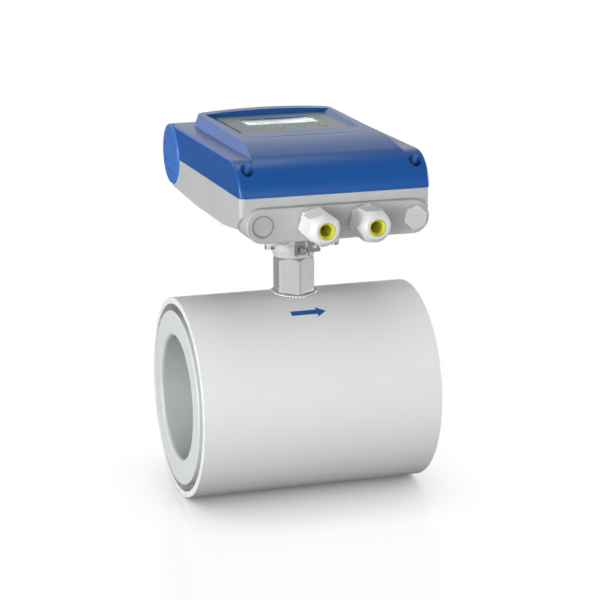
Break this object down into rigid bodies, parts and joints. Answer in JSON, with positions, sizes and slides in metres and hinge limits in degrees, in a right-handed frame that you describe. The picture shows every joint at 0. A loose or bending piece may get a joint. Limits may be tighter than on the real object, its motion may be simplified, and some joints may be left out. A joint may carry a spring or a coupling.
{
  "type": "electromagnetic flow meter",
  "caption": "Lined tube sensor for clamping between pipe flanges, with a short neck that carries a hinged housing with display, keys and cable glands.",
  "frame": {"origin": "centre of the bore, half way along the sensor", "axes": "+X along the bore in the direction of flow, +Z from the bore up to the converter, -Y towards the cable glands"},
  "size_m": [0.203, 0.2717, 0.305],
  "materials": {
    "shell_steel": "satin",
    "inner_steel": "machined",
    "liner_plastic": "smooth white",
    "magnet_steel": "dull",
    "coil_copper": "enamelled winding",
    "electrode_steel": "polished",
    "sleeve_plastic": "smooth",
    "cast_grey": "satin grey paint",
    "gasket_rubber": "matte",
    "screw_steel": "bright",
    "cover_blue": "satin blue paint",
    "cap_blue": "satin",
    "panel_foil": "printed foil",
    "window_clear": "clear",
    "display_grey": "unlit liquid crystal",
    "board_green": "solder resist",
    "switch_black": "moulded",
    "key_grey": "soft",
    "gland_white": "moulded nylon",
    "seal_yellow": "soft",
    "plug_grey": "moulded",
    "terminal_green": "moulded",
    "capacitor_sleeve": "shrink sleeve"
  },
  "bodies": {
    "meter": {"sensor_housing": "shell_steel", "neck_tube": "shell_steel", "end_disc_inlet": "inner_steel", "end_disc_outlet": "inner_steel", "measuring_tube": "inner_steel", "liner": "liner_plastic", "pole_pieces": "magnet_steel", "return_yoke": "magnet_steel", "field_coil_upper": "coil_copper", "field_coil_lower": "coil_copper", "electrodes": "electrode_steel", "electrode_nuts": "electrode_steel", "electrode_sleeves": "sleeve_plastic", "base_housing": "cast_grey", "neck_flange": "cast_grey", "cover_gasket": "gasket_rubber", "neck_seal": "gasket_rubber", "gland_gaskets": "gasket_rubber", "flange_screws": "screw_steel", "earth_clamp": "screw_steel", "hinge_pin_left": "screw_steel", "hinge_pin_right": "screw_steel", "board_screws": "screw_steel", "main_board": "board_green", "processor_chips": "switch_black", "power_supply": "switch_black", "gland_body_left": "gland_white", "gland_body_right": "gland_white", "gland_seal_left": "seal_yellow", "gland_seal_right": "seal_yellow", "round_plug": "plug_grey", "signal_terminals": "terminal_green", "power_terminals": "terminal_green", "capacitors": "capacitor_sleeve"},
    "cover": {"cover_shell": "cover_blue", "hinge_cap_left": "cap_blue", "hinge_cap_right": "cap_blue", "display_panel": "panel_foil", "display_window": "window_clear", "display_module": "display_grey", "display_board": "board_green", "display_screws": "screw_steel", "key_switches": "switch_black"},
    "cover_screw_left": {"cover_screw_left": "screw_steel"},
    "cover_screw_right": {"cover_screw_right": "screw_steel"},
    "gland_nut_left": {"gland_nut_left": "gland_white"},
    "gland_nut_right": {"gland_nut_right": "gland_white"},
    "hex_plug": {"hex_plug": "gland_white"},
    "earth_screw": {"earth_screw": "screw_steel"},
    "key_next": {"key_next": "key_grey"},
    "key_enter": {"key_enter": "key_grey"},
    "key_down": {"key_down": "key_grey"},
    "key_up": {"key_up": "key_grey"}
  },
  "joints": [
    {"name": "cover_hinge", "type": "hinge", "parent": "meter", "child": "cover", "pos_m": [0, 0.0964, 0.185], "axis": [-1, 0, 0], "range_deg": [0, 100]},
    {"name": "cover_screw_left_turn", "type": "hinge", "parent": "cover", "child": "cover_screw_left", "pos_m": [-0.068, -0.1, 0.187], "axis": [0, 0, 1], "continuous": true},
    {"name": "cover_screw_right_turn", "type": "hinge", "parent": "cover", "child": "cover_screw_right", "pos_m": [0.068, -0.1, 0.187], "axis": [0, 0, 1], "continuous": true},
    {"name": "gland_nut_left_turn", "type": "hinge", "parent": "meter", "child": "gland_nut_left", "pos_m": [-0.02017, -0.137, 0.1629], "axis": [0, -1, 0], "continuous": true},
    {"name": "gland_nut_right_turn", "type": "hinge", "parent": "meter", "child": "gland_nut_right", "pos_m": [0.02017, -0.137, 0.1629], "axis": [0, -1, 0], "continuous": true},
    {"name": "hex_plug_turn", "type": "hinge", "parent": "meter", "child": "hex_plug", "pos_m": [0.0605, -0.12, 0.1629], "axis": [0, -1, 0], "continuous": true},
    {"name": "earth_screw_turn", "type": "hinge", "parent": "meter", "child": "earth_screw", "pos_m": [-0.003, -0.032, 0.1228], "axis": [0, -1, 0], "continuous": true},
    {"name": "key_next_press", "type": "slide", "parent": "cover", "child": "key_next", "axis": [0, 0, -1], "range_m": [0, 0.0006], "stiffness_N_per_m": 3000, "springref_m": -0.0002},
    {"name": "key_enter_press", "type": "slide", "parent": "cover", "child": "key_enter", "axis": [0, 0, -1], "range_m": [0, 0.0006], "stiffness_N_per_m": 3000, "springref_m": -0.0002},
    {"name": "key_down_press", "type": "slide", "parent": "cover", "child": "key_down", "axis": [0, 0, -1], "range_m": [0, 0.0006], "stiffness_N_per_m": 3000, "springref_m": -0.0002},
    {"name": "key_up_press", "type": "slide", "parent": "cover", "child": "key_up", "axis": [0, 0, -1], "range_m": [0, 0.0006], "stiffness_N_per_m": 3000, "springref_m": -0.0002}
  ]
}
